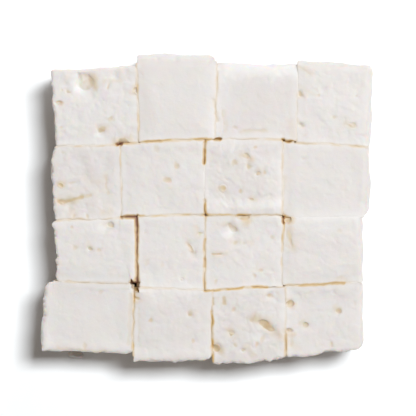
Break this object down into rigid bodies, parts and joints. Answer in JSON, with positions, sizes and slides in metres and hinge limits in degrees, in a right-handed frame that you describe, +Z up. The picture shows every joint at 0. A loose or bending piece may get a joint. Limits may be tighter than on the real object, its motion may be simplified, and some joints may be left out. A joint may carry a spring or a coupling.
{
  "type": "white cheese block cut into cubes",
  "caption": "Low square block of white brined cheese, cut through into cubes that still stand close together, with small holes and crumbly edges; flat underneath.",
  "frame": {"origin": "on the surface that the block rests on, under the middle of its bounding box", "axes": "+Z up; +X along the block's slightly longer side, to the right of rows a to d seen from the front; +Y to the back, towards row a"},
  "size_m": [0.0832, 0.0781, 0.0201],
  "materials": {
    "white_cheese": "fresh white curd, cut with a knife: damp and matt, faintly translucent, cream to light ochre in the cuts and holes"
  },
  "bodies": {
    "root": {"cube_a1": "white_cheese", "cube_a2": "white_cheese", "cube_a3": "white_cheese", "cube_a4": "white_cheese", "cube_b1": "white_cheese", "cube_b2": "white_cheese", "cube_b3": "white_cheese", "cube_b4": "white_cheese", "cube_c1": "white_cheese", "cube_c2": "white_cheese", "cube_c3": "white_cheese", "cube_c4": "white_cheese", "cube_d1": "white_cheese", "cube_d2": "white_cheese", "cube_d3": "white_cheese", "cube_d4": "white_cheese"}
  },
  "joints": []
}
